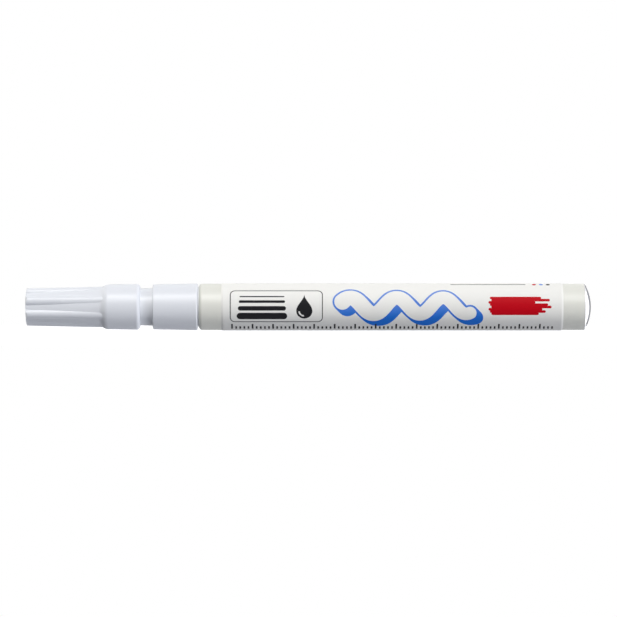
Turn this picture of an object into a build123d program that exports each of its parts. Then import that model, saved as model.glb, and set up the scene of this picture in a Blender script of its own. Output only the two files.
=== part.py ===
"""A slim valve-fed paint marker, lying on its side with its cap on.

The marker's axis runs along X, the cap towards -X and the tail towards +X. The origin is under the
middle of the marker, on the surface that it lies on. Lengths are in millimetres. Sketches are drawn
in stations along the axis, counted from the closed end of the cap, and in radii from the axis.
"""
from math import cos, pi, sin, sqrt
import os

from build123d import *

# Lengths along the outside
cap_length = 27.95
neck_show_length = 3.1
collar_length = 10.95
seam_width = 0.3
tube_length = 94.0
tail_rim_length = 0.15
tail_dome_height = 1.55

# Nib and nib holder
nib_radius = 1.1
nib_tip_radius = 0.55
nib_tip_length = 0.45
nib_taper_length = 2.2
nib_protrusion = 3.8
nib_tip_gap = 4.4
nib_socket_depth = 3.5
guide_length = 3.0
nose_wall = 1.02
nose_draft = 0.1
nose_tip_wall = 0.55
nose_tip_length = 1.6
nose_tip_round = 0.25
holder_spigot_wall = 0.5
holder_spigot_length = 8.0

# Valve
stem_wall = 0.45
seat_land = 0.65
seat_thickness = 1.0
flange_thickness = 1.2
valve_wall = 0.5
valve_end_wall = 1.5
valve_rim_length = 1.9
boss_length = 1.8
tail_rod_radius = 0.8
tail_rod_overhang = 2.0
retainer_thickness = 1.4
window_count = 6
spring_length = 9.0
spring_wire_radius = 0.2
spring_coil_radius = 1.9
spring_turns = 6
spring_samples = 40

# Front section
neck_wall = 0.7
neck_draft = 0.1
neck_cone_length = 1.5
neck_front_wall = 0.85
neck_web_length = 2.6
cap_stop_height = 0.2
collar_step = 1.2
collar_overhang = 0.05
collar_shoulder_round = 0.25
collar_edge_round = 0.35
section_spigot_length = 8.0
section_spigot_lead = 0.4

# Barrel, label and tail plug
tube_outer_radius = 5.66
tube_wall = 0.45
lip_inner_bend = 0.35
label_thickness = 0.11
label_edge_length = 0.42
label_front_margin = 5.52
label_rear_margin = 5.25
plug_length = 6.0
plug_wall = 0.9
plug_lead = 0.4
seal_cord_radius = 0.3
seal_setback = 2.4
ball_radius = 2.75

# Cap and its liner
cap_collar_length = 7.9
cap_collar_wall = 1.25
cap_collar_draft = 0.12
cap_shoulder_length = 2.0
cap_mouth_round = 0.85
cap_mouth_lead = 0.3
cap_seat_depth = 7.8
cap_cone_length = 1.6
cap_end_wall = 1.5
cap_crown_height = 0.2
cap_corner_height = 0.37
cap_corner_length = 0.47
cap_corner_relief = 0.01
grip_wall = 0.56
grip_draft = 0.9
rib_count = 7
rib_turn = 2.0
rib_end_height = 0.76
rib_end_round = 1.18
rib_root_height = 0.24
rib_root_round = 1.4
liner_wall = 0.4
liner_end_wall = 0.6
liner_margin = 0.6
liner_bead_height = 0.03
liner_bead_length = 1.0

# Clearances
guide_clearance = 0.06
channel_gap = 0.75
paint_gap = 0.5
flange_gap = 0.4
boss_clearance = 0.2
spring_clearance = 0.05
cap_clearance = 0.05
cap_stop_gap = 0.05
neck_end_gap = 0.4
liner_clearance = 0.06
lip_clearance = 0.06
seal_clearance = 0.01
ball_clearance = 0.03
overrun = 1.0

# Shares of the sizes that they follow
cap_flat_share = 0.65
label_edge_share = 0.2
rib_reach_share = 0.78
window_share = 0.32
seal_groove_share = 1.3
spigot_lead_share = 0.3
ball_rest_share = 0.35

# Stations along the axis
collar_front = cap_length + neck_show_length
collar_rear = collar_front + collar_length
tube_front = collar_rear + seam_width
tube_rear = tube_front + tube_length
tail_rim_rear = tube_rear + tail_rim_length
overall_length = tail_rim_rear + tail_dome_height

cap_shoulder_rear = cap_length - cap_collar_length
cap_shoulder_front = cap_shoulder_rear - cap_shoulder_length
cap_seat_front = cap_length - cap_seat_depth
cap_cone_front = cap_seat_front - cap_cone_length
liner_rear = cap_cone_front - liner_margin
liner_floor = cap_end_wall + liner_end_wall

neck_front = cap_seat_front + neck_end_gap
section_front = neck_front - neck_cone_length
cap_stop_front = cap_length - cap_mouth_lead + cap_stop_gap
cap_stop_rear = cap_stop_front + cap_stop_height
nib_tip = liner_floor + nib_tip_gap
nose_front = nib_tip + nib_protrusion
nose_shoulder = nose_front + nose_tip_length
guide_rear = nose_front + guide_length
holder_rear = section_front + holder_spigot_length
stem_front = holder_rear - nib_socket_depth
valve_front = holder_rear + neck_web_length
seat_front = valve_front + valve_end_wall
flange_front = seat_front + seat_thickness
flange_rear = flange_front + flange_thickness
boss_rear = flange_rear + boss_length
retainer_front = flange_rear + spring_length
retainer_rear = retainer_front + retainer_thickness
valve_rear = retainer_rear + valve_rim_length
tail_rod_rear = retainer_rear + tail_rod_overhang

lip_bend = lip_inner_bend + tube_wall
lip_rear = tube_front + lip_bend
seal_station = lip_rear + seal_setback
section_rear = lip_rear + section_spigot_length
label_front = tube_front + label_front_margin
label_rear = tube_rear - label_rear_margin
plug_front = tube_rear - plug_length
ball_station = section_rear + (plug_front - section_rear) * ball_rest_share

# Radii, from the nib outwards
guide_radius = nib_radius + guide_clearance
channel_radius = nib_radius + channel_gap
nose_radius = channel_radius + nose_wall
nose_front_radius = nose_radius - nose_draft
nose_tip_radius = guide_radius + nose_tip_wall
holder_spigot_radius = channel_radius + holder_spigot_wall
stem_radius = nib_radius + stem_wall
orifice_radius = stem_radius + paint_gap
flange_radius = orifice_radius + seat_land
chamber_radius = flange_radius + flange_gap
valve_radius = chamber_radius + valve_wall
neck_radius = valve_radius + neck_wall
neck_show_radius = neck_radius + cap_stop_height
neck_root_radius = neck_show_radius + neck_draft
section_front_radius = holder_spigot_radius + neck_front_wall
collar_front_radius = neck_radius + collar_step
spring_outer_radius = spring_coil_radius + spring_wire_radius
boss_radius = spring_coil_radius - spring_wire_radius - boss_clearance

tube_inner_radius = tube_outer_radius - tube_wall
collar_rear_radius = tube_outer_radius + collar_overhang
lip_radius = tube_outer_radius - lip_bend
label_radius = tube_outer_radius + label_thickness
seal_radius = tube_inner_radius - seal_cord_radius - seal_clearance
seal_groove_radius = seal_radius - seal_cord_radius - seal_clearance
seal_groove_half = seal_cord_radius * seal_groove_share
spigot_lead = min(section_spigot_lead, (tube_inner_radius - valve_radius) * spigot_lead_share)

liner_bore_radius = nose_radius + liner_clearance
liner_radius = liner_bore_radius + liner_wall
floor_end_radius = liner_radius + grip_wall
floor_root_radius = floor_end_radius + grip_draft
grip_end_radius = floor_end_radius + rib_end_height
cap_seat_radius = neck_radius + cap_clearance
cap_mouth_radius = cap_seat_radius + cap_collar_wall
cap_collar_radius = cap_mouth_radius - cap_collar_draft

# Frame: the axis lies as high as the largest radius
axis_height = max(label_radius, collar_rear_radius, collar_front_radius, cap_mouth_radius)
half_plane = Plane(origin=(-overall_length / 2, 0, axis_height), x_dir=(1, 0, 0), z_dir=(0, -1, 0))
marker_axis = Axis((0, 0, axis_height), (1, 0, 0))


def cross_plane(station):
    """Plane square to the axis at a station, facing the tail, its local Y upwards."""
    centre = (station - overall_length / 2, 0, axis_height)
    return Plane(origin=centre, x_dir=(0, 1, 0), z_dir=(1, 0, 0))


def rib_section(station):
    """Centre offset and radius of a grip rib's round section, which changes evenly along the grip."""
    along = station / cap_shoulder_front
    rounding = rib_end_round + (rib_root_round - rib_end_round) * along
    height = rib_end_height + (rib_root_height - rib_end_height) * along
    return floor_end_radius + grip_draft * along + height - rounding, rounding


os.makedirs("parts", exist_ok=True)

# Cap: core, shoulder and collar turned, ribs lofted on with a valley to the front, end rounded, bored out
rib_rear = cap_shoulder_front + cap_shoulder_length * rib_reach_share
shoulder_middle_station = (cap_shoulder_front + cap_shoulder_rear) / 2
shoulder_middle_radius = (floor_root_radius + cap_collar_radius) / 2
cap_flat_radius = floor_end_radius * cap_flat_share
crown_radius = grip_end_radius - cap_corner_height
corner_rear = cap_crown_height + cap_corner_length
corner_radius = sum(rib_section(corner_rear)) + cap_corner_relief
with BuildPart() as cap_shell:
    with BuildSketch(half_plane):
        with BuildLine():
            Polyline((cap_shoulder_front, floor_root_radius), (0, floor_end_radius), (0, 0), (cap_length, 0))
            scoop = TangentArc(
                (cap_shoulder_front, floor_root_radius),
                (shoulder_middle_station, shoulder_middle_radius),
                tangent=(cap_shoulder_front, grip_draft),
            )
            TangentArc(scoop @ 1, (cap_shoulder_rear, cap_collar_radius), tangent=scoop % 1)
            FilletPolyline(
                (cap_shoulder_rear, cap_collar_radius),
                (cap_length, cap_mouth_radius),
                (cap_length, 0),
                radius=cap_mouth_round,
            )
        make_face()
    revolve(axis=marker_axis)
    for rib in range(rib_count):
        rib_angle = 180 + rib_turn + (rib + 0.5) * 360 / rib_count
        for station in (0, rib_rear):
            rib_offset, rib_round = rib_section(station)
            with BuildSketch(cross_plane(station)):
                with PolarLocations(rib_offset, 1, start_angle=rib_angle):
                    Circle(rib_round)
        loft(ruled=True)
    with BuildSketch(half_plane):
        with BuildLine():
            crown = TangentArc((0, cap_flat_radius), (cap_crown_height, crown_radius), tangent=(0, 1))
            corner = TangentArc(crown @ 1, (corner_rear, corner_radius), tangent=crown % 1)
            Polyline(
                corner @ 1,
                (corner_rear, grip_end_radius + overrun),
                (-overrun, grip_end_radius + overrun),
                (-overrun, cap_flat_radius),
                (0, cap_flat_radius),
            )
        make_face()
    revolve(axis=marker_axis, mode=Mode.SUBTRACT)
    with BuildSketch(half_plane):
        with BuildLine():
            Polyline(
                (cap_end_wall, 0),
                (cap_end_wall, liner_radius),
                (cap_cone_front, liner_radius),
                (cap_seat_front, cap_seat_radius),
                (cap_length - cap_mouth_lead, cap_seat_radius),
                (cap_length + overrun, cap_seat_radius + cap_mouth_lead + overrun),
                (cap_length + overrun, 0),
                close=True,
            )
        make_face()
    revolve(axis=marker_axis, mode=Mode.SUBTRACT)
cap_shell.part.label = "cap_shell"
export_step(cap_shell.part, "parts/cap_shell.step")

# Cap liner: closed sleeve pressed into the grip's bore, with a sealing bead near its mouth
bead_rear = liner_rear - liner_bead_length
bead_front = bead_rear - liner_bead_length
with BuildPart() as cap_liner:
    with BuildSketch(half_plane):
        with BuildLine():
            Polyline(
                (bead_front, liner_bore_radius),
                (liner_floor, liner_bore_radius),
                (liner_floor, 0),
                (cap_end_wall, 0),
                (cap_end_wall, liner_radius),
                (liner_rear, liner_radius),
                (liner_rear, liner_bore_radius),
                (bead_rear, liner_bore_radius),
            )
            ThreePointArc(
                (bead_front, liner_bore_radius),
                ((bead_front + bead_rear) / 2, liner_bore_radius - liner_bead_height),
                (bead_rear, liner_bore_radius),
            )
        make_face()
    revolve(axis=marker_axis)
cap_liner.part.label = "cap_liner"
export_step(cap_liner.part, "parts/cap_liner.step")

# Nib holder: drafted nose with a guide bore at its tip, and a spigot in the front section
with BuildPart() as nib_holder:
    with BuildSketch(half_plane):
        with BuildLine():
            Polyline(
                (nose_shoulder, nose_front_radius),
                (section_front, nose_radius),
                (section_front, holder_spigot_radius),
                (holder_rear, holder_spigot_radius),
                (holder_rear, channel_radius),
                (guide_rear, channel_radius),
                (guide_rear, guide_radius),
                (nose_front, guide_radius),
            )
            FilletPolyline(
                (nose_front, guide_radius),
                (nose_front, nose_tip_radius),
                (nose_shoulder, nose_front_radius),
                radius=nose_tip_round,
            )
        make_face()
    revolve(axis=marker_axis)
nib_holder.part.label = "nib_holder"
export_step(nib_holder.part, "parts/nib_holder.step")

# Nib: fibre rod with a tapered, rounded tip
with BuildPart() as nib:
    with BuildSketch(half_plane):
        with BuildLine():
            TangentArc((nib_tip, 0), (nib_tip + nib_tip_length, nib_tip_radius), tangent=(0, 1))
            Polyline(
                (nib_tip + nib_tip_length, nib_tip_radius),
                (nib_tip + nib_taper_length, nib_radius),
                (holder_rear, nib_radius),
                (holder_rear, 0),
                (nib_tip, 0),
            )
        make_face()
    revolve(axis=marker_axis)
nib.part.label = "nib"
export_step(nib.part, "parts/nib.step")

# Valve stem: socket for the nib, poppet flange, spring boss and guided tail
with BuildPart() as valve_stem:
    with BuildSketch(half_plane):
        with BuildLine():
            Polyline(
                (stem_front, nib_radius),
                (stem_front, stem_radius),
                (flange_front, stem_radius),
                (flange_front, flange_radius),
                (flange_rear, flange_radius),
                (flange_rear, boss_radius),
                (boss_rear, boss_radius),
                (boss_rear, tail_rod_radius),
                (tail_rod_rear, tail_rod_radius),
                (tail_rod_rear, 0),
                (holder_rear, 0),
                (holder_rear, nib_radius),
                close=True,
            )
        make_face()
    revolve(axis=marker_axis)
valve_stem.part.label = "valve_stem"
export_step(valve_stem.part, "parts/valve_stem.step")

# Valve seat: soft ring that the flange closes on
with BuildPart() as valve_seat:
    with BuildSketch(half_plane):
        with BuildLine():
            Polyline(
                (seat_front, orifice_radius),
                (seat_front, chamber_radius),
                (flange_front, chamber_radius),
                (flange_front, orifice_radius),
                close=True,
            )
        make_face()
    revolve(axis=marker_axis)
valve_seat.part.label = "valve_seat"
export_step(valve_seat.part, "parts/valve_seat.step")

# Valve body: cup with the paint orifice in its end wall
with BuildPart() as valve_body:
    with BuildSketch(half_plane):
        with BuildLine():
            Polyline(
                (valve_front, orifice_radius),
                (valve_front, valve_radius),
                (valve_rear, valve_radius),
                (valve_rear, chamber_radius),
                (seat_front, chamber_radius),
                (seat_front, orifice_radius),
                close=True,
            )
        make_face()
    revolve(axis=marker_axis)
valve_body.part.label = "valve_body"
export_step(valve_body.part, "parts/valve_body.step")

# Spring retainer: disc that guides the stem's tail, with windows that let the paint in
window_circle = (spring_outer_radius + chamber_radius) / 2
window_radius = (chamber_radius - spring_outer_radius) * window_share
with BuildPart() as spring_retainer:
    with BuildSketch(cross_plane(retainer_front)):
        Circle(chamber_radius)
        Circle(tail_rod_radius + guide_clearance, mode=Mode.SUBTRACT)
        with PolarLocations(window_circle, window_count):
            Circle(window_radius, mode=Mode.SUBTRACT)
    extrude(amount=retainer_thickness)
spring_retainer.part.label = "spring_retainer"
export_step(spring_retainer.part, "parts/spring_retainer.step")

# Valve spring: one helical wire between flange and retainer, two tangent arcs to each half turn
spring_margin = spring_clearance + spring_wire_radius
spring_pitch = (spring_length - 2 * spring_margin) / spring_turns
spring_start = flange_rear + spring_margin - overall_length / 2


def spring_point(turn):
    """Point on the wire's centre line after a number of turns."""
    angle = 2 * pi * turn
    height = axis_height + spring_coil_radius * cos(angle)
    return Vector(spring_start + spring_pitch * turn, spring_coil_radius * sin(angle), height)


def spring_direction(turn):
    """Unit direction of the wire after a number of turns."""
    angle = 2 * pi * turn
    around = 2 * pi * spring_coil_radius
    return Vector(spring_pitch, around * cos(angle), -around * sin(angle)).normalized()


with BuildPart() as valve_spring:
    with BuildLine() as spring_path:
        for half_turn in range(2 * spring_turns):
            start, end = spring_point(half_turn / 2), spring_point((half_turn + 1) / 2)
            leave, arrive = spring_direction(half_turn / 2), spring_direction((half_turn + 1) / 2)
            chord, bend = end - start, leave + arrive
            slack = 4 - bend.dot(bend)
            reach = sqrt(chord.dot(bend) ** 2 + slack * chord.dot(chord)) - chord.dot(bend)
            handle = reach / slack
            middle = (start + leave * handle + end - arrive * handle) * 0.5
            first_arc = TangentArc(start, middle, tangent=leave)
            TangentArc(middle, end, tangent=first_arc % 1)
    with BuildSketch(Plane(origin=spring_point(0), z_dir=spring_direction(0))):
        Circle(spring_wire_radius)
    sweep(path=spring_path.wire())
valve_spring.part.label = "valve_spring"
export_step(valve_spring.part, "parts/valve_spring.step")

wire_points = [
    spring_path.wire().position_at(step / (spring_samples * spring_turns))
    for step in range(spring_samples * spring_turns + 1)
]
nearest = min(
    (first - second).length
    for place, first in enumerate(wire_points)
    for second in wire_points[place + spring_samples // 2:]
)
print("valve spring, least gap to itself:", round(nearest - 2 * spring_wire_radius, 3), "mm")

# Front section: neck stepped to stop the cap, grip collar, groove for the rolled lip, spigot in the barrel
with BuildPart() as front_section:
    with BuildSketch(half_plane):
        with BuildLine():
            Polyline(
                (collar_front, neck_root_radius),
                (cap_stop_rear, neck_show_radius),
                (cap_stop_front, neck_radius),
                (neck_front, neck_radius),
                (section_front, section_front_radius),
                (section_front, holder_spigot_radius),
                (holder_rear, holder_spigot_radius),
                (holder_rear, orifice_radius),
                (valve_front, orifice_radius),
                (valve_front, valve_radius),
                (section_rear - spigot_lead, valve_radius),
                (section_rear, valve_radius + spigot_lead),
                (section_rear, tube_inner_radius - spigot_lead),
                (section_rear - spigot_lead, tube_inner_radius),
                (seal_station + seal_groove_half, tube_inner_radius),
                (seal_station + seal_groove_half, seal_groove_radius),
                (seal_station - seal_groove_half, seal_groove_radius),
                (seal_station - seal_groove_half, tube_inner_radius),
                (lip_rear, tube_inner_radius),
                (lip_rear, lip_radius - lip_clearance),
                (collar_rear, lip_radius - lip_clearance),
            )
            FilletPolyline(
                (collar_front, neck_root_radius),
                (collar_front, collar_front_radius),
                (collar_rear, collar_rear_radius),
                (collar_rear, lip_radius - lip_clearance),
                radius=[collar_shoulder_round, collar_edge_round],
            )
        make_face()
    revolve(axis=marker_axis)
front_section.part.label = "front_section"
export_step(front_section.part, "parts/front_section.step")

# Barrel seal ring: cord ring in the spigot's groove
with BuildPart() as barrel_seal_ring:
    with BuildSketch(half_plane):
        with Locations((seal_station, seal_radius)):
            Circle(seal_cord_radius)
    revolve(axis=marker_axis)
barrel_seal_ring.part.label = "barrel_seal_ring"
export_step(barrel_seal_ring.part, "parts/barrel_seal_ring.step")

# Barrel tube: drawn tube, its front edge rolled inwards behind the collar
with BuildPart() as barrel_tube:
    with BuildSketch(half_plane):
        with BuildLine():
            TangentArc((lip_rear, tube_outer_radius), (tube_front, lip_radius), tangent=(-1, 0))
            Line((tube_front, lip_radius), (tube_front + tube_wall, lip_radius))
            TangentArc((tube_front + tube_wall, lip_radius), (lip_rear, tube_inner_radius), tangent=(0, 1))
            Polyline(
                (lip_rear, tube_inner_radius),
                (tube_rear, tube_inner_radius),
                (tube_rear, tube_outer_radius),
                (lip_rear, tube_outer_radius),
            )
        make_face()
    revolve(axis=marker_axis)
barrel_tube.part.label = "barrel_tube"
export_step(barrel_tube.part, "parts/barrel_tube.step")

# Label sleeve: thin printed film round the tube, drawn thinner at its ends
label_edge_radius = tube_outer_radius + label_thickness * label_edge_share
with BuildPart() as label_sleeve:
    with BuildSketch(half_plane):
        with BuildLine():
            Polyline(
                (label_front, tube_outer_radius),
                (label_front, label_edge_radius),
                (label_front + label_edge_length, label_radius),
                (label_rear - label_edge_length, label_radius),
                (label_rear, label_edge_radius),
                (label_rear, tube_outer_radius),
                close=True,
            )
        make_face()
    revolve(axis=marker_axis)
label_sleeve.part.label = "label_sleeve"
export_step(label_sleeve.part, "parts/label_sleeve.step")

# Tail plug: domed head on the tube's rear edge, hollow spigot pressed inside
with BuildPart() as tail_plug:
    with BuildSketch(half_plane):
        with BuildLine():
            TangentArc((overall_length, 0), (tail_rim_rear, tube_outer_radius), tangent=(0, 1))
            Polyline(
                (tail_rim_rear, tube_outer_radius),
                (tube_rear, tube_outer_radius),
                (tube_rear, tube_inner_radius),
                (plug_front + plug_lead, tube_inner_radius),
                (plug_front, tube_inner_radius - plug_lead),
                (plug_front, tube_inner_radius - plug_wall),
                (tube_rear, tube_inner_radius - plug_wall),
                (tube_rear, 0),
                (overall_length, 0),
            )
        make_face()
    revolve(axis=marker_axis)
tail_plug.part.label = "tail_plug"
export_step(tail_plug.part, "parts/tail_plug.step")

# Mixing ball: loose in the reservoir, lying on the tube's lower wall
ball_drop = tube_inner_radius - ball_radius - ball_clearance
with BuildPart() as mixing_ball:
    with Locations((ball_station - overall_length / 2, 0, axis_height - ball_drop)):
        Sphere(ball_radius)
mixing_ball.part.label = "mixing_ball"
export_step(mixing_ball.part, "parts/mixing_ball.step")
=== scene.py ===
"""A slim paint marker lying on a white table with its cap on, dressed in the order it is put together."""
from math import cos, pi, radians, sin, tau

import bpy
import numpy as np
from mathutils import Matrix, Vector
from mathutils.geometry import delaunay_2d_cdt


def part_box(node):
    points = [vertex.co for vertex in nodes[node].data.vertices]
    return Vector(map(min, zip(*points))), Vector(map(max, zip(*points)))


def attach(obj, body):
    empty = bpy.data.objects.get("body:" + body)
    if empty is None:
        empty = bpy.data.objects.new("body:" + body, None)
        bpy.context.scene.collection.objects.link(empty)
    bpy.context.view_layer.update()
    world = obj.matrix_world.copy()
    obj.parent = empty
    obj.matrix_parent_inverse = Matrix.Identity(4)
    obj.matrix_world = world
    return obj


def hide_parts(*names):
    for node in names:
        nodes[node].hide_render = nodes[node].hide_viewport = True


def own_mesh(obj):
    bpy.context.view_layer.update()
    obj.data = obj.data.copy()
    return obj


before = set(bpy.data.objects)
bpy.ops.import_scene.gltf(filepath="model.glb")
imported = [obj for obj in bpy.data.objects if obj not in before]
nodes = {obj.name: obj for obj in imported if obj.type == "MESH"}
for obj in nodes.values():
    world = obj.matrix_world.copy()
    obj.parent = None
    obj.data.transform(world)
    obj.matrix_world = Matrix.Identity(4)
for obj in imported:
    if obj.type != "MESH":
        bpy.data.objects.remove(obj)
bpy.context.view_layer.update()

# Barrel tube: a drawn aluminium tube, its front edge rolled inwards behind the collar.
# It is roller-coated with a warm off-white enamel and stoved, which leaves an even gloss with a
# faint orange peel. Only its two ends show beside the printed film.
MM = 0.001


def linear(hex_colour):
    """Linear RGBA of an sRGB hex colour."""
    channels = [int(hex_colour[place:place + 2], 16) / 255 for place in (1, 3, 5)]
    return [c / 12.92 if c <= 0.04045 else ((c + 0.055) / 1.055) ** 2.4 for c in channels] + [1]


def add(tree, kind, settings, links=None):
    """Adds a node: settings are properties or input values, links are what feeds its inputs."""
    node = tree.nodes.new("ShaderNode" + kind)
    for name, value in settings.items():
        if isinstance(name, int) or name in node.inputs:
            node.inputs[name].default_value = value
        else:
            setattr(node, name, value)
    for name, socket in (links or {}).items():
        tree.links.new(socket, node.inputs[name])
    return node


def surface(
    name, tones, mottle_mm, grain_mm, grain_depth_mm, roughness, streak=None, graded_mm=None, **sockets
):
    """A solid finish: two tones and a fine grain in relief, which also varies the gloss.

    The tones are mottled over a size, or graded between two heights. A streak stretches the patterns
    that many times along the marker. The sockets are the shader's constants. A Mix node takes its two
    colours at inputs 6 and 7, and gives the blend at output 2.
    """
    material = bpy.data.materials.new(name)
    material.use_nodes = True
    tree = material.node_tree
    tree.nodes.clear()
    place = add(tree, "TexCoord", {}).outputs["Object"]
    if streak:
        place = add(tree, "Mapping", {"Scale": (1 / streak, 1, 1)}, {"Vector": place}).outputs["Vector"]
    if graded_mm:
        height = add(tree, "SeparateXYZ", {}, {"Vector": place})
        blend = add(
            tree,
            "MapRange",
            {"From Min": graded_mm[0] * MM, "From Max": graded_mm[1] * MM},
            {"Value": height.outputs["Z"]},
        )
    else:
        blend = add(tree, "TexNoise", {"Scale": 1 / (mottle_mm * MM), "Detail": 3}, {"Vector": place})
    grain = add(tree, "TexNoise", {"Scale": 1 / (grain_mm * MM), "Detail": 2}, {"Vector": place})
    tone = add(
        tree,
        "Mix",
        {"data_type": "RGBA", 6: linear(tones[0]), 7: linear(tones[1])},
        {0: blend.outputs[0]},
    )
    gloss = add(
        tree,
        "MapRange",
        {"To Min": roughness[0], "To Max": roughness[1]},
        {"Value": grain.outputs["Fac"]},
    )
    relief = add(tree, "Bump", {"Distance": grain_depth_mm * MM}, {"Height": grain.outputs["Fac"]})
    shader = add(
        tree,
        "BsdfPrincipled",
        sockets,
        {
            "Base Color": tone.outputs[2],
            "Roughness": gloss.outputs["Result"],
            "Normal": relief.outputs["Normal"],
        },
    )
    add(tree, "OutputMaterial", {}, {"Surface": shader.outputs["BSDF"]})
    return material


def dress(material, *names):
    """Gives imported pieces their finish."""
    for name in names:
        nodes[name].material_slots[0].material = material


stoved_enamel = surface(
    "stoved_enamel_on_aluminium",
    tones=("#e9e9df", "#e6e6dc"),
    mottle_mm=9,
    grain_mm=0.7,
    grain_depth_mm=0.004,
    roughness=(0.32, 0.4),
)
dress(stoved_enamel, "barrel_tube")

# Tail plug: a domed plug moulded in white polypropylene and pressed into the rear of the tube.
# Its mould was polished, so the dome has a clear skin that mirrors the room, on a slightly greyer
# white. The flow marks under that skin are too fine to show and are drawn at half a millimetre.
glossy_polypropylene = surface(
    "glossy_white_polypropylene",
    tones=("#dfdedd", "#dddcdb"),
    mottle_mm=6,
    grain_mm=0.5,
    grain_depth_mm=0.001,
    roughness=(0.14, 0.18),
    IOR=1.49,
    **{"Coat Weight": 1, "Coat IOR": 1.6, "Coat Roughness": 0.06},
)
dress(glossy_polypropylene, "tail_plug")

# Label sleeve: a white plastic film, printed flat in three inks and wrapped round the tube, where
# its edge laps over itself low at the back. A matt varnish over the print leaves hardly a sheen.
# The print's sizes are millimetres, along the film from its front edge and up from its middle line.
scene = bpy.context.scene
label_low, label_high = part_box("label_sleeve")
tube_low, tube_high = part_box("barrel_tube")
label_length = (label_high.x - label_low.x) / MM
label_radius = (label_high.z - label_low.z) / 2 / MM
tube_radius = (tube_high.z - tube_low.z) / 2 / MM
axis_height = (label_high.z + label_low.z) / 2
film_edge_length = 0.42
film_edge_share = 0.05
film_clearance = 0.003
film_columns = 144
lap_angle = radians(-123)
lap_length, lap_ramp, lap_height = 3.0, 0.4, 0.03
film, blue_ink, red_ink, black_ink = range(4)
strokes = []


def pen(ink, points, width):
    """Notes a stroke of ink on the film."""
    path = np.array(points, float)
    strokes.append((ink, path, np.broadcast_to(np.asarray(width, float), len(path)).copy()))


def arc(centre, radius, start, end, count=13):
    """Points on a round arc between two angles in degrees."""
    angles = np.radians(np.linspace(start, end, count))
    return np.array(centre) + radius * np.stack([np.cos(angles), np.sin(angles)], axis=1)


def frame_path(middle, width, height, corner):
    """Points round a frame with rounded corners, closed by returning to the first."""
    across, up = width / 2 - corner, height / 2 - corner
    corners = ((across, up, 0), (-across, up, 90), (-across, -up, 180), (across, -up, 270))
    arcs = [arc(np.add(middle, (u, v)), corner, turn, turn + 90) for u, v, turn in corners]
    return np.concatenate(arcs + [arcs[0][:1]])


# The wavy stroke: film white, with a blue outline and a blue shadow below and to the right
wave_start, wave_length, wave_middle = 29.5, 31.0, 0.3
wave_height, wave_count, wave_phase = 2.1, 2.75, 0.5
wave_width, wave_tail_width, wave_outline = 4.0, 3.2, 0.9
wave_points, shadow_step, shadow_steps = 200, 0.3, 4
along = np.linspace(0, 1, wave_points)
wave_rise = wave_middle + wave_height * np.sin(tau * wave_count * along + wave_phase)
wave_path = np.stack([wave_start + wave_length * along, wave_rise], axis=1)
wave_widths = wave_width + (wave_tail_width - wave_width) * along
for step in range(shadow_steps, -1, -1):
    pen(blue_ink, wave_path + np.array([1, -1]) * shadow_step * step, wave_widths + wave_outline)
pen(film, wave_path, wave_widths)

# The dry brush mark: bristle lines that start nearly together and run out unevenly
brush_start, brush_length, brush_low = 66.0, 14.0, -1.7
bristle_width, bristle_pitch, bristle_lead = 0.66, 0.56, 0.35
bristle_shares = (0.78, 0.9, 0.84, 1.0, 0.94, 0.72, 0.97, 0.82)
for bristle, share in enumerate(bristle_shares):
    height = brush_low + bristle * bristle_pitch
    bristle_start = brush_start - bristle_lead * (bristle % 3)
    pen(red_ink, [(bristle_start, height), (brush_start + brush_length * share, height)], bristle_width)

# The panel of line widths: each sample's height and width, and a drop beside them
panel_middle, panel_width, panel_height = (13.4, 0.2), 22.4, 8.2
panel_corner, panel_line = 1.2, 0.22
sample_start, sample_end = 4.6, 15.2
samples = ((2.6, 0.3), (1.3, 0.65), (-0.35, 1.1), (-2.3, 1.7))
drop_along, drop_top, drop_centre = 20.2, 3.2, -1.0
drop_tip_width, drop_swell, drop_points = 0.02, 3.9, 24
glint_reach, glint_width, glint_start, glint_end = 1.25, 0.35, 190, 260
pen(black_ink, frame_path(panel_middle, panel_width, panel_height, panel_corner), panel_line)
for height, width in samples:
    pen(black_ink, [(sample_start, height), (sample_end, height)], width)
drop_heights = np.linspace(drop_top, drop_centre, drop_points)
drop_widths = drop_tip_width + drop_swell * np.sin(np.linspace(0, pi / 2, drop_points)) ** 2
pen(black_ink, np.stack([np.full(drop_points, drop_along), drop_heights], axis=1), drop_widths)
pen(film, arc((drop_along, drop_centre), glint_reach, glint_start, glint_end), glint_width)

# A scale of ticks 1 mm apart below, every fifth one longer, and above it a rule with a dot of each ink
tick_count, tick_start, tick_width = 79, 2.6, 0.42
tick_foot, tick_top, fifth_tick_top = -6.6, -5.7, -4.8
rule_start, rule_end, rule_height, rule_width = 56.0, 74.0, 7.1, 0.35
dot_start, dot_pitch, dot_width, dot_run = 76.2, 1.7, 1.0, 0.01
for tick in range(tick_count):
    top = fifth_tick_top if tick % 5 == 0 else tick_top
    pen(black_ink, [(tick_start + tick, tick_foot), (tick_start + tick, top)], tick_width)
pen(black_ink, [(rule_start, rule_height), (rule_end, rule_height)], rule_width)
for dot, ink in enumerate((red_ink, blue_ink, black_ink)):
    dot_along = dot_start + dot * dot_pitch
    pen(ink, [(dot_along, rule_height), (dot_along + dot_run, rule_height)], dot_width)

# The drawings at the back: shake, press, draw, and a box to write in, with a marker in each drawing
back = pi * label_radius
shake_place, press_place, draw_place, box_place = 70.0, 58.0, 46.0, 20.5
drawing_size, box_length, drawing_corner, drawing_line = 8.0, 34.0, 1.3, 0.25


def at_back(middle, points):
    """Points drawn upright at the back, where right and up run the other way."""
    return np.array([middle, back]) - np.array(points, float)


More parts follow.
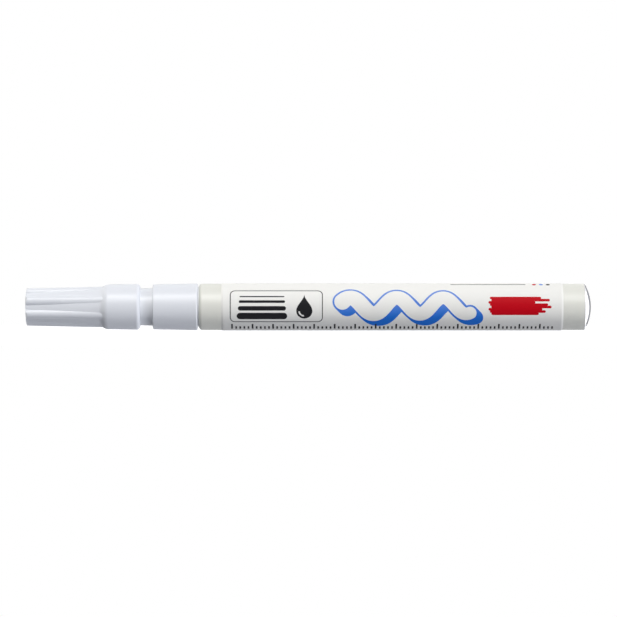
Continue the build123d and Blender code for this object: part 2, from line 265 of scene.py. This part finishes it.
for drawing_place in (shake_place, press_place, draw_place):
    drawing_frame = frame_path((drawing_place, back), drawing_size, drawing_size, drawing_corner)
    pen(black_ink, drawing_frame, drawing_line)
shaken_marker, shaken_width = [(-1.2, -1.6), (1.2, 1.6)], 1.5
swing_reaches, swing_width, swing_lean, swing_half = (2.2, 3.0), 0.3, 55, 20
pen(black_ink, at_back(shake_place, shaken_marker), shaken_width)
for side in (-1, 1):
    lean = 90 + side * swing_lean
    for reach in swing_reaches:
        swing_line = arc((0, 0), reach, lean - swing_half, lean + swing_half)
        pen(black_ink, at_back(shake_place, swing_line), swing_width)
pressed_marker, pressed_width = [(0, 2.6), (0, 0.1)], 1.6
pressed_nib, pressed_nib_width = [(0, -0.6), (0, -1.6)], 0.7
paper_line, press_line = [(-2.8, -2.5), (2.8, -2.5)], 0.35
arrow_side, arrow_top, arrow_tip, barb_reach, barb_top = 2.3, 1.6, -0.6, 0.6, 0.1
pen(black_ink, at_back(press_place, pressed_marker), pressed_width)
pen(black_ink, at_back(press_place, pressed_nib), pressed_nib_width)
pen(black_ink, at_back(press_place, paper_line), press_line)
for side in (-arrow_side, arrow_side):
    pen(red_ink, at_back(press_place, [(side, arrow_top), (side, arrow_tip)]), press_line)
    for barb in (-barb_reach, barb_reach):
        pen(red_ink, at_back(press_place, [(side, arrow_tip), (side + barb, barb_top)]), press_line)
drawn_reach, drawn_middle, drawn_height, drawn_width, drawn_points = 2.8, -1.4, 0.7, 0.8, 40
drawing_marker, drawing_marker_width = [(0.6, 0.9), (1.9, 2.4)], 1.3
drawing_nib, drawing_nib_width = [(-0.15, 0.05), (0.1, 0.35)], 0.5
across = np.linspace(-1, 1, drawn_points)
drawn_line = np.stack([drawn_reach * across, drawn_middle + drawn_height * np.sin(tau * across)], axis=1)
pen(blue_ink, at_back(draw_place, drawn_line), drawn_width)
pen(black_ink, at_back(draw_place, drawing_marker), drawing_marker_width)
pen(black_ink, at_back(draw_place, drawing_nib), drawing_nib_width)
pen(black_ink, frame_path((box_place, back), box_length, drawing_size, drawing_corner), drawing_line)


def pen_outline(path, widths, end_steps=12):
    """Loop round a pen stroke of changing width, with round ends."""
    ahead = np.gradient(path, axis=0)
    ahead /= np.linalg.norm(ahead, axis=1)[:, None]
    side = np.stack([-ahead[:, 1], ahead[:, 0]], axis=1) * widths[:, None] / 2
    turn = np.linspace(0, pi, end_steps + 1)[1:-1, None]
    first_end = path[0] + side[0] * np.cos(turn) - ahead[0] * widths[0] / 2 * np.sin(turn)
    last_end = path[-1] - side[-1] * np.cos(turn) + ahead[-1] * widths[-1] / 2 * np.sin(turn)
    return np.concatenate([path - side, last_end, (path + side)[::-1], first_end])


def under_pen(points, path, widths):
    """Which points a pen stroke covers."""
    covered = np.zeros(len(points), bool)
    for start, end, width, end_width in zip(path, path[1:], widths, widths[1:]):
        run = end - start
        share = np.clip((points - start) @ run / (run @ run), 0, 1)
        gap = np.linalg.norm(points - start - share[:, None] * run, axis=1)
        covered |= gap < (width + (end_width - width) * share) / 2
    return covered


# The film flat: its outline, bending lines, tapered ends and every stroke's outline cut it into faces
film_low = lap_angle * label_radius
film_high = film_low + tau * label_radius
column_heights = np.linspace(film_low, film_high, film_columns + 1)
rear_taper = label_length - film_edge_length
merge_gap, line_gap = 1e-5, 1e-4
flat_points, flat_edges = [], []
for height in column_heights:
    flat_edges.append((len(flat_points), len(flat_points) + 1))
    flat_points += [(0, height), (label_length, height)]
for mark in (0, film_edge_length, rear_taper, label_length):
    flat_edges.append((len(flat_points), len(flat_points) + 1))
    flat_points += [(mark, film_low), (mark, film_high)]
for _, path, widths in strokes:
    loop = pen_outline(path, widths)
    first = len(flat_points)
    flat_edges += [(first + place, first + (place + 1) % len(loop)) for place in range(len(loop))]
    flat_points += [tuple(point) for point in loop]
cut_points, _, cut_faces, *_ = delaunay_2d_cdt(flat_points, flat_edges, [], 0, merge_gap)
flat = np.array([tuple(point) for point in cut_points])
cut_faces = np.array([tuple(face) for face in cut_faces])
middles = flat[cut_faces].mean(axis=1)
face_inks = np.full(len(cut_faces), film)
for ink, path, widths in strokes:
    stroke_middle = (path.min(0) + path.max(0)) / 2
    stroke_reach = np.ptp(path, 0) / 2 + widths.max()
    near = np.flatnonzero(np.all(np.abs(middles - stroke_middle) < stroke_reach, axis=1))
    face_inks[near[under_pen(middles[near], path, widths)]] = ink


def wrap(points, radii):
    """Points of the flat film, bent round the marker's axis at given radii."""
    angles = points[:, 1] / label_radius
    rolled = [label_low.x / MM + points[:, 0], -radii * np.cos(angles), radii * np.sin(angles)]
    return np.stack(rolled, axis=1) * MM + np.array([0, 0, axis_height])


def on_line(axis, value):
    """Flat points on one line of the film, in order along it."""
    spots = np.flatnonzero(np.abs(flat[:, axis] - value) < line_gap)
    return [int(spot) for spot in spots[np.argsort(flat[spots, 1 - axis])]]


# The film rolled: thinner at its ends, lifted where it laps over itself, closed inside against the tube
end_share = np.clip(np.minimum(flat[:, 0], label_length - flat[:, 0]) / film_edge_length, 0, 1)
lap_share = np.clip((flat[:, 1] - film_high + lap_length + lap_ramp) / lap_ramp, 0, 1)
film_thickness = (label_radius - tube_radius) * (film_edge_share + (1 - film_edge_share) * end_share)
outer = wrap(flat, tube_radius + film_thickness + lap_height * lap_share)
inner_flat = np.array([(end, height) for end in (0, label_length) for height in column_heights[:-1]])
inner = wrap(inner_flat, np.full(len(inner_flat), tube_radius + film_clearance))
first_inner = len(outer)
film_faces = [tuple(int(corner) for corner in face) for face in cut_faces]
front_edge, rear_edge = on_line(0, 0), on_line(0, label_length)
under_edge, over_edge = on_line(1, film_low), on_line(1, film_high)
for column in range(film_columns):
    after = (column + 1) % film_columns
    front_inner, front_after = first_inner + column, first_inner + after
    rear_inner, rear_after = front_inner + film_columns, front_after + film_columns
    film_faces += [
        (front_edge[column], front_inner, front_after, front_edge[column + 1]),
        (rear_edge[column + 1], rear_after, rear_inner, rear_edge[column]),
        (front_inner, rear_inner, rear_after, front_after),
    ]
for place in range(len(over_edge) - 1):
    film_faces.append((over_edge[place], under_edge[place], under_edge[place + 1], over_edge[place + 1]))
film_faces += [
    (over_edge[0], first_inner, under_edge[0]),
    (under_edge[-1], first_inner + film_columns, over_edge[-1]),
]
film_mesh = bpy.data.meshes.new("label_film")
film_mesh.from_pydata(np.concatenate([outer, inner]).tolist(), [], film_faces)
plain_faces = [film] * (len(film_faces) - len(face_inks))
film_mesh.polygons.foreach_set("material_index", list(face_inks) + plain_faces)
film_mesh.update()

# The film's outer wall is shaded as a true cylinder, and its ends and inside face by face
around = outer * np.array([0, 1, 1]) - np.array([0, 0, axis_height])
around /= np.linalg.norm(around, axis=1)[:, None]
corner_normals = []
for polygon in film_mesh.polygons:
    on_wall = polygon.index < len(cut_faces) and film_edge_length < middles[polygon.index, 0] < rear_taper
    for corner in polygon.vertices:
        corner_normals.append(around[corner] if on_wall else polygon.normal)
film_mesh.normals_split_custom_set([tuple(normal) for normal in corner_normals])

# The film's grain and the inks' are too fine to show, and are drawn nearly a millimetre wide.
# The blue is paler towards the top of the stroke, and the other inks are even.
film_mesh.materials.append(
    surface(
        "white_film",
        tones=("#f7f6f0", "#f5f4ee"),
        mottle_mm=2,
        grain_mm=0.9,
        grain_depth_mm=0.002,
        roughness=(0.6, 0.68),
        **{"Specular IOR Level": 0.15},
    )
)
for name, tones, graded_mm in (
    ("blue_ink_on_film", ("#2774da", "#6a93df"), (3.3, 8.3)),
    ("red_ink_on_film", ("#c6061a", "#c20518"), None),
    ("black_ink_on_film", ("#1a1a1d", "#1e1e21"), None),
):
    film_mesh.materials.append(
        surface(
            name,
            tones,
            mottle_mm=2,
            grain_mm=0.9,
            grain_depth_mm=0.002,
            roughness=(0.45, 0.55),
            graded_mm=graded_mm,
            **{"Specular IOR Level": 0.08},
        )
    )
label = bpy.data.objects.new("printed_label", film_mesh)
scene.collection.objects.link(label)
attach(label, "barrel")
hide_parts("label_sleeve")

# Mixing ball: a bearing-grade steel ball, ground and polished, loose in the reservoir.
# It stirs the paint when the marker is shaken, and dulls a little from rolling in it. Its polishing
# marks are too fine to show and are drawn coarser.
polished_steel = surface(
    "polished_steel",
    tones=("#c9cacb", "#bfc1c3"),
    mottle_mm=1.5,
    grain_mm=0.4,
    grain_depth_mm=0.001,
    roughness=(0.08, 0.16),
    Metallic=1,
)
dress(polished_steel, "mixing_ball")

# Front section: stepped neck, grip collar and spigot in one moulding of white polypropylene, pressed
# into the tube. The mould was spark-eroded smooth, so the plastic is evenly satin and slightly cool.
# Its real texture, about 0.1 mm, is too fine to show, so it is drawn at half a millimetre.
white_polypropylene = surface(
    "moulded_white_polypropylene",
    tones=("#e9ebef", "#e7eaee"),
    mottle_mm=6,
    grain_mm=0.5,
    grain_depth_mm=0.002,
    roughness=(0.33, 0.39),
    IOR=1.49,
)
dress(white_polypropylene, "front_section")

# Seals: a round cord ring on the spigot and a flat ring that the valve closes on, both moulded in
# black nitrile rubber, dull and soft, with a trace of talc left in the grain.
nitrile_rubber = surface(
    "nitrile_rubber",
    tones=("#1b1b1c", "#242425"),
    mottle_mm=1.2,
    grain_mm=0.25,
    grain_depth_mm=0.004,
    roughness=(0.6, 0.75),
)
dress(nitrile_rubber, "barrel_seal_ring", "valve_seat")

# Valve body: a cup moulded in natural polyethylene, milky and waxy, pressed into the front section.
# The cap's liner is moulded in the same plastic.
natural_polyethylene = surface(
    "natural_polyethylene",
    tones=("#e9e9e3", "#e3e3dc"),
    mottle_mm=4,
    grain_mm=0.4,
    grain_depth_mm=0.003,
    roughness=(0.38, 0.46),
    IOR=1.51,
)
dress(natural_polyethylene, "valve_body")

# Valve stem and spring retainer: turned in natural acetal, dense and slippery, with a creamy sheen.
# The nib holder is moulded in it too, because it wears well against the nib. The tool's marks are too
# fine to show and are drawn as a grain a third of a millimetre wide.
natural_acetal = surface(
    "natural_acetal",
    tones=("#eceae2", "#e7e5dc"),
    mottle_mm=3,
    grain_mm=0.35,
    grain_depth_mm=0.002,
    roughness=(0.28, 0.36),
    IOR=1.48,
)
dress(natural_acetal, "valve_stem", "spring_retainer", "nib_holder")

# Valve spring: bright cold-drawn stainless wire, coiled with its end turns closed, so that it stands
# flat on the stem's flange and on the retainer. In the marker it shortens as the nib is pressed; this
# coil is built at its rest length. The die's marks on the wire are drawn coarser than they are.
spring_low, spring_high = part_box("valve_spring")
wire_radius = 0.2 * MM
spring_turns, closed_turns = 8, 1
closed_pitch = 2.2 * wire_radius
turn_steps, wire_sides = 32, 10
coil_radius = (spring_high.z - spring_low.z) / 2 - wire_radius
wire_run = spring_high.x - spring_low.x - 2 * wire_radius
turns = np.linspace(0, spring_turns, spring_turns * turn_steps + 1)
rises = np.interp(
    turns,
    [0, closed_turns, spring_turns - closed_turns, spring_turns],
    [0, closed_turns * closed_pitch, wire_run - closed_turns * closed_pitch, wire_run],
)
outward = np.stack([np.zeros_like(turns), np.sin(tau * turns), np.cos(tau * turns)], axis=1)
wire_line = coil_radius * outward + np.array([0, 0, axis_height])
wire_line[:, 0] = spring_low.x + wire_radius + rises
forward = np.gradient(wire_line, axis=0)
forward /= np.linalg.norm(forward, axis=1)[:, None]
sideways = np.cross(forward, outward)
side_angles = tau * np.arange(wire_sides) / wire_sides
wire_rings = (
    wire_line[:, None]
    + wire_radius * np.cos(side_angles)[None, :, None] * outward[:, None]
    + wire_radius * np.sin(side_angles)[None, :, None] * sideways[:, None]
)
wire_faces = []
for ring in range(0, (len(turns) - 1) * wire_sides, wire_sides):
    for side in range(wire_sides):
        after = (side + 1) % wire_sides
        next_ring = ring + wire_sides
        wire_faces.append((ring + side, ring + after, next_ring + after, next_ring + side))
wire_faces.append(tuple(range(wire_sides))[::-1])
wire_faces.append(tuple((len(turns) - 1) * wire_sides + side for side in range(wire_sides)))
spring_mesh = bpy.data.meshes.new("valve_spring_wire")
spring_mesh.from_pydata(wire_rings.reshape(-1, 3).tolist(), [], wire_faces)
spring_mesh.shade_smooth()
spring_mesh.materials.append(
    surface(
        "drawn_stainless_wire",
        tones=("#b4b5b6", "#a9abad"),
        mottle_mm=0.8,
        grain_mm=0.12,
        grain_depth_mm=0.002,
        roughness=(0.22, 0.34),
        Metallic=1,
    )
)
spring = bpy.data.objects.new("coiled_valve_spring", spring_mesh)
scene.collection.objects.link(spring)
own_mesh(spring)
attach(spring, "barrel")
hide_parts("valve_spring")

# Nib: a rod of bonded polyester fibre, ground to a bullet point and pushed into the stem's socket.
# The fibres run along it, so the surface is matt with fine streaks. A fibre is about 0.02 mm thick,
# too fine to show, so the streaks are drawn a quarter of a millimetre wide.
bonded_fibre = surface(
    "bonded_polyester_fibre",
    tones=("#f1f0eb", "#d6d5cd"),
    mottle_mm=0.6,
    grain_mm=0.25,
    grain_depth_mm=0.03,
    roughness=(0.8, 0.95),
    streak=14,
)
dress(bonded_fibre, "nib")

# Cap: a white polypropylene shell with a ribbed grip, pushed on to the neck, and inside it a liner
# of natural polyethylene that closes round the nib holder and keeps the nib wet.
dress(white_polypropylene, "cap_shell")
dress(natural_polyethylene, "cap_liner")

# Table: a matt white board. To the eye it is as white as the backdrop and fades into it, and it
# keeps the marker's shadow. The room's soft light comes up through it, as a white table throws
# light back.
table_reach = 0.8
fade_start, fade_end = 0.12, 0.45
board_lift = 0.5


def seen_by_eye(tree):
    """One for what the camera sees, in reflections and through clear things too, and zero for light."""
    rays = add(tree, "LightPath", {})
    seen = rays.outputs["Is Camera Ray"]
    for kind in ("Is Glossy Ray", "Is Transmission Ray"):
        seen = add(tree, "Math", {"operation": "MAXIMUM"}, {0: seen, 1: rays.outputs[kind]}).outputs[0]
    return seen


table_corners = [(-table_reach, -table_reach, 0), (table_reach, -table_reach, 0)]
table_corners += [(table_reach, table_reach, 0), (-table_reach, table_reach, 0)]
table_mesh = bpy.data.meshes.new("table")
table_mesh.from_pydata(table_corners, [], [range(4)])
table = bpy.data.objects.new("table", table_mesh)
scene.collection.objects.link(table)
board = bpy.data.materials.new("matt_white_board")
board.use_nodes = True
tree = board.node_tree
tree.nodes.clear()
place = add(tree, "TexCoord", {})
distance = add(tree, "VectorMath", {"operation": "LENGTH"}, {0: place.outputs["Object"]})
fade = add(
    tree,
    "MapRange",
    {"From Min": fade_start, "From Max": fade_end},
    {"Value": distance.outputs["Value"]},
)
paper = add(tree, "BsdfDiffuse", {"Color": linear("#f2f2f2")})
lift = add(tree, "Emission", {"Color": linear("#ffffff"), "Strength": board_lift})
near = add(tree, "AddShader", {}, {0: paper.outputs[0], 1: lift.outputs[0]})
white = add(tree, "Emission", {"Color": linear("#ffffff"), "Strength": 1})
seen = add(tree, "MixShader", {}, {0: fade.outputs[0], 1: near.outputs[0], 2: white.outputs[0]})
open_below = add(tree, "BsdfTransparent", {})
mixed = add(tree, "MixShader", {}, {0: seen_by_eye(tree), 1: open_below.outputs[0], 2: seen.outputs[0]})
add(tree, "OutputMaterial", {}, {"Surface": mixed.outputs[0]})
table_mesh.materials.append(board)

# Room: soft, slightly cool light from all sides, much brighter towards the tail.
# The backdrop is white to the eye.
room_dim, room_bright = 0.112, 1.86
room = bpy.data.worlds.new("soft_room")
scene.world = room
room.use_nodes = True
tree = room.node_tree
tree.nodes.clear()
direction = add(tree, "TexCoord", {}).outputs["Generated"]
window = add(tree, "TexGradient", {"gradient_type": "QUADRATIC"}, {"Vector": direction})
level = add(tree, "MapRange", {"To Min": room_dim, "To Max": room_bright}, {"Value": window.outputs["Fac"]})
soft = add(tree, "Background", {"Color": linear("#edf1ff")}, {"Strength": level.outputs[0]})
backdrop = add(tree, "Background", {"Color": linear("#ffffff"), "Strength": 1})
mixed = add(tree, "MixShader", {}, {0: seen_by_eye(tree), 1: soft.outputs[0], 2: backdrop.outputs[0]})
add(tree, "OutputWorld", {}, {"Surface": mixed.outputs[0]})

# Softboxes: a small one draws the stripe along the plastic, and a large one above in front gives the
# main light. Three more fill in without a glint: at the cap's end, behind, and low at the tail's end
# for the light that the table throws back.
marker_middle = Vector((0, 0, axis_height))


def softbox(name, aim, towards, distance, width, height, watts, glint=True):
    """An area lamp at a distance from the point that it faces, with or without a glint in the gloss."""
    lamp = bpy.data.lights.new(name, "AREA")
    lamp.shape = "RECTANGLE"
    lamp.size, lamp.size_y = width, height
    lamp.energy = watts
    lamp.color = linear("#fffefc")[:3]
    holder = bpy.data.objects.new(name, lamp)
    direction = Vector(towards).normalized()
    holder.location = aim + direction * distance
    holder.rotation_euler = (-direction).to_track_quat("-Z", "Y").to_euler()
    holder.visible_glossy = glint
    scene.collection.objects.link(holder)


stripe_rise = radians(55)
stripe_shift = Vector((-0.2, 0, 0))
softbox(
    "stripe_softbox",
    aim=marker_middle + stripe_shift,
    towards=(0, -cos(stripe_rise), sin(stripe_rise)),
    distance=1.2,
    width=0.24,
    height=0.2,
    watts=2.8,
)
softbox(
    "large_softbox",
    aim=marker_middle,
    towards=(0, -0.71, 0.7),
    distance=2.5,
    width=1.6,
    height=1.6,
    watts=32.5,
)
softbox(
    "left_softbox",
    aim=marker_middle,
    towards=(-1, 0.1, 0.3),
    distance=2.5,
    width=1.2,
    height=1.2,
    watts=23,
    glint=False,
)
softbox(
    "bounce_softbox",
    aim=marker_middle,
    towards=(0.9, -0.25, -0.35),
    distance=2.5,
    width=1.2,
    height=1.2,
    watts=15,
    glint=False,
)
softbox(
    "back_softbox",
    aim=marker_middle,
    towards=(0, 1, 0.3),
    distance=2.5,
    width=1.6,
    height=1.2,
    watts=25,
    glint=False,
)

# Cards: only the gloss shows them. A black card behind the marker and a lower one beside it, with a
# black one lying on the table, draw a dark line round the dome. A bright one further round, and one
# lying beside it, light the dome's face and the rounded edges that face the tail.
card_glow = 3
card_start, card_tail, card_turn, card_end = (-0.6, 0.75), (0.07, 0.75), (0.55, 0.66), (0.85, 0.3)
black_height, black_side_height, bright_height = 0.3, 0.14, 0.5
floor_height, floor_end = 0.2 * MM, (0.1, 0.75)
dome_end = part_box("tail_plug")[1].x
dome_side = (dome_end + 0.7 * MM, 5 * MM)
dome_rear = (dome_end + 3.7 * MM, 3.8 * MM)
dome_front = (dome_end + 0.5 * MM, 0)


def card(name, strength, corners):
    """A white or black card with given corners, which only reflections see."""
    mesh = bpy.data.meshes.new(name)
    mesh.from_pydata(corners, [], [range(len(corners))])
    paper = bpy.data.materials.new(name + "_paper")
    paper.use_nodes = True
    tree = paper.node_tree
    tree.nodes.clear()
    glow = add(tree, "Emission", {"Color": linear("#ffffff"), "Strength": strength})
    add(tree, "OutputMaterial", {}, {"Surface": glow.outputs[0]})
    mesh.materials.append(paper)
    holder = bpy.data.objects.new(name, mesh)
    scene.collection.objects.link(holder)
    holder.visible_camera = False
    holder.visible_diffuse = False
    holder.visible_shadow = False


def standing(start, end, height):
    """Corners of a card that stands on the table between two points."""
    return [(*start, 0), (*end, 0), (*end, height), (*start, height)]


def lying(*points):
    """Corners of a card that lies on the table."""
    return [(*point, floor_height) for point in points]


card("black_card", 0, standing(card_start, card_tail, black_height))
card("black_side_card", 0, standing(card_tail, card_turn, black_side_height))
card("bright_card", card_glow, standing(card_turn, card_end, bright_height))
card("black_floor_card", 0, lying(dome_rear, card_turn, floor_end, dome_side))
card("bright_floor_card", card_glow, lying(dome_front, card_end, card_turn))

# Camera: level with the marker and square to it, far enough off to flatten the perspective.
# The frame takes in 150.8 mm at the marker, and its middle lies just below the marker's axis.
camera_distance = 1.1
frame_width = 150.78 * MM
frame_right, frame_drop = 0.05 * MM, 0.39 * MM
camera_data = bpy.data.cameras.new("camera")
camera_data.sensor_width = 36
camera_data.lens = camera_data.sensor_width * camera_distance / frame_width
camera = bpy.data.objects.new("camera", camera_data)
camera.location = (frame_right, -camera_distance, axis_height - frame_drop)
camera.rotation_euler = (pi / 2, 0, 0)
scene.collection.objects.link(camera)
scene.camera = camera
scene.view_settings.view_transform = "Standard"
